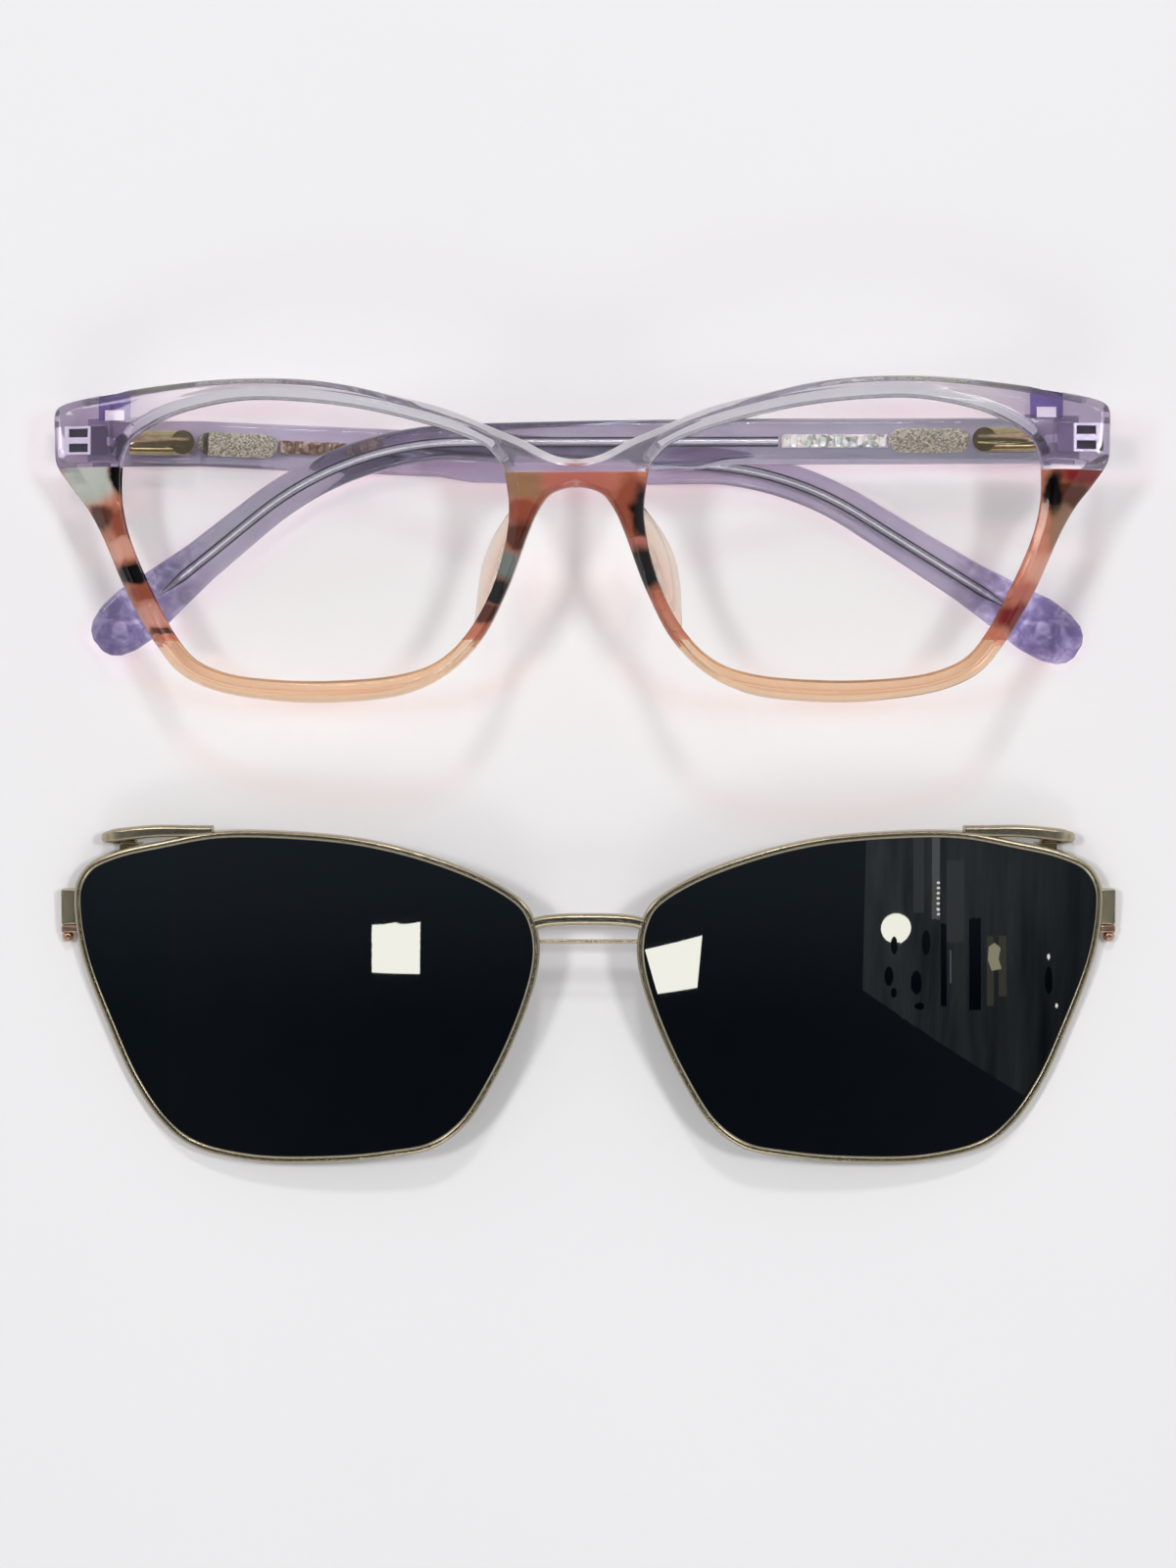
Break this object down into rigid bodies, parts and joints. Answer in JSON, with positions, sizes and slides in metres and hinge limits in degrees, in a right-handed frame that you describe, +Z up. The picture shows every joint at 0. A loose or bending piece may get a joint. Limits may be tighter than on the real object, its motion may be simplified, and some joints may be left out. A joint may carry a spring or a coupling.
{
  "type": "cat eye clip-on eyeglasses",
  "caption": "Cat eye acetate eyeglasses lying on folded temples, with their detached metal magnetic clip-on with dark lenses beside them.",
  "frame": {"origin": "centre of the box round glasses and clip, on the table", "axes": "+X to the right of the picture, +Y up the picture, +Z up from the table"},
  "size_m": [0.1364, 0.1004, 0.0237],
  "materials": {
    "lavender_acetate": "polished translucent acetate",
    "marbled_acetate": "polished acetate with brown, black, rose and pale marbling",
    "peach_acetate": "polished translucent acetate",
    "temple_acetate": "polished translucent acetate",
    "demo_lens": "clear polished lens",
    "pad_acetate": "clear polished acetate",
    "tinted_lens": "dark blue-black polished lens",
    "magnet": "nickel-plated magnet",
    "glitter_foil": "glitter foil",
    "crystal_stones": "cut crystal on a pewter strip",
    "core_wire": "drawn nickel silver wire",
    "hinge_gilt": "polished olive-gold plating",
    "clip_metal": "satin pale antique gold plating",
    "hinge_steel": "nickel silver"
  },
  "bodies": {
    "front": {"front_upper": "lavender_acetate", "front_middle": "marbled_acetate", "front_lower": "peach_acetate", "lens_left": "demo_lens", "lens_right": "demo_lens", "nose_pad_left": "pad_acetate", "nose_pad_right": "pad_acetate", "hinge_plate_left": "hinge_steel", "hinge_plate_right": "hinge_steel", "hinge_screw_left": "hinge_steel", "hinge_screw_right": "hinge_steel", "frame_magnet_left": "magnet", "frame_magnet_right": "magnet"},
    "pivot_left": {"hinge_slider_left": "hinge_steel", "guide_rod_left": "hinge_steel", "flex_spring_left": "hinge_steel"},
    "pivot_right": {"hinge_slider_right": "hinge_steel", "guide_rod_right": "hinge_steel", "flex_spring_right": "hinge_steel"},
    "temple_arm_left": {"temple_left": "temple_acetate", "core_wire_left": "core_wire", "spring_housing_left": "hinge_gilt", "glitter_inlay_left": "glitter_foil", "stone_row_left": "crystal_stones"},
    "temple_arm_right": {"temple_right": "temple_acetate", "core_wire_right": "core_wire", "spring_housing_right": "hinge_gilt", "glitter_inlay_right": "glitter_foil", "stone_row_right": "crystal_stones"},
    "clip_on": {"clip_rim_left": "clip_metal", "clip_rim_right": "clip_metal", "clip_lens_left": "tinted_lens", "clip_lens_right": "tinted_lens", "clip_bridge_arch": "clip_metal", "clip_lower_bar": "clip_metal", "clip_arm_left": "clip_metal", "clip_arm_right": "clip_metal", "clip_post_left": "clip_metal", "clip_post_right": "clip_metal", "clip_magnet_left": "magnet", "clip_magnet_right": "magnet", "rim_screw_left": "clip_metal", "rim_screw_right": "clip_metal"}
  },
  "joints": [
    {"name": "temple_left_fold", "type": "hinge", "parent": "front", "child": "pivot_left", "pos_m": [-0.06192, 0.04275, 0.0051], "axis": [0, 1, 0], "range_deg": [0, 87.12]},
    {"name": "temple_right_fold", "type": "hinge", "parent": "front", "child": "pivot_right", "pos_m": [0.06033, 0.04275, 0.01125], "axis": [0, -1, 0], "range_deg": [0, 91.4]},
    {"name": "temple_left_flex", "type": "slide", "parent": "pivot_left", "child": "temple_arm_left", "axis": [1, 0, 0], "range_m": [0, 0.002], "stiffness_N_per_m": 600, "springref_m": -0.002, "deforming": ["flex_spring_left"]},
    {"name": "temple_right_flex", "type": "slide", "parent": "pivot_right", "child": "temple_arm_right", "axis": [-0.9997, 0, -0.0259], "range_m": [0, 0.002], "stiffness_N_per_m": 600, "springref_m": -0.002, "deforming": ["flex_spring_right"]},
    {"name": "clip_lift", "type": "slide", "parent": "front", "child": "clip_on", "axis": [0, 0, 1], "range_m": [0, 0.06]}
  ]
}
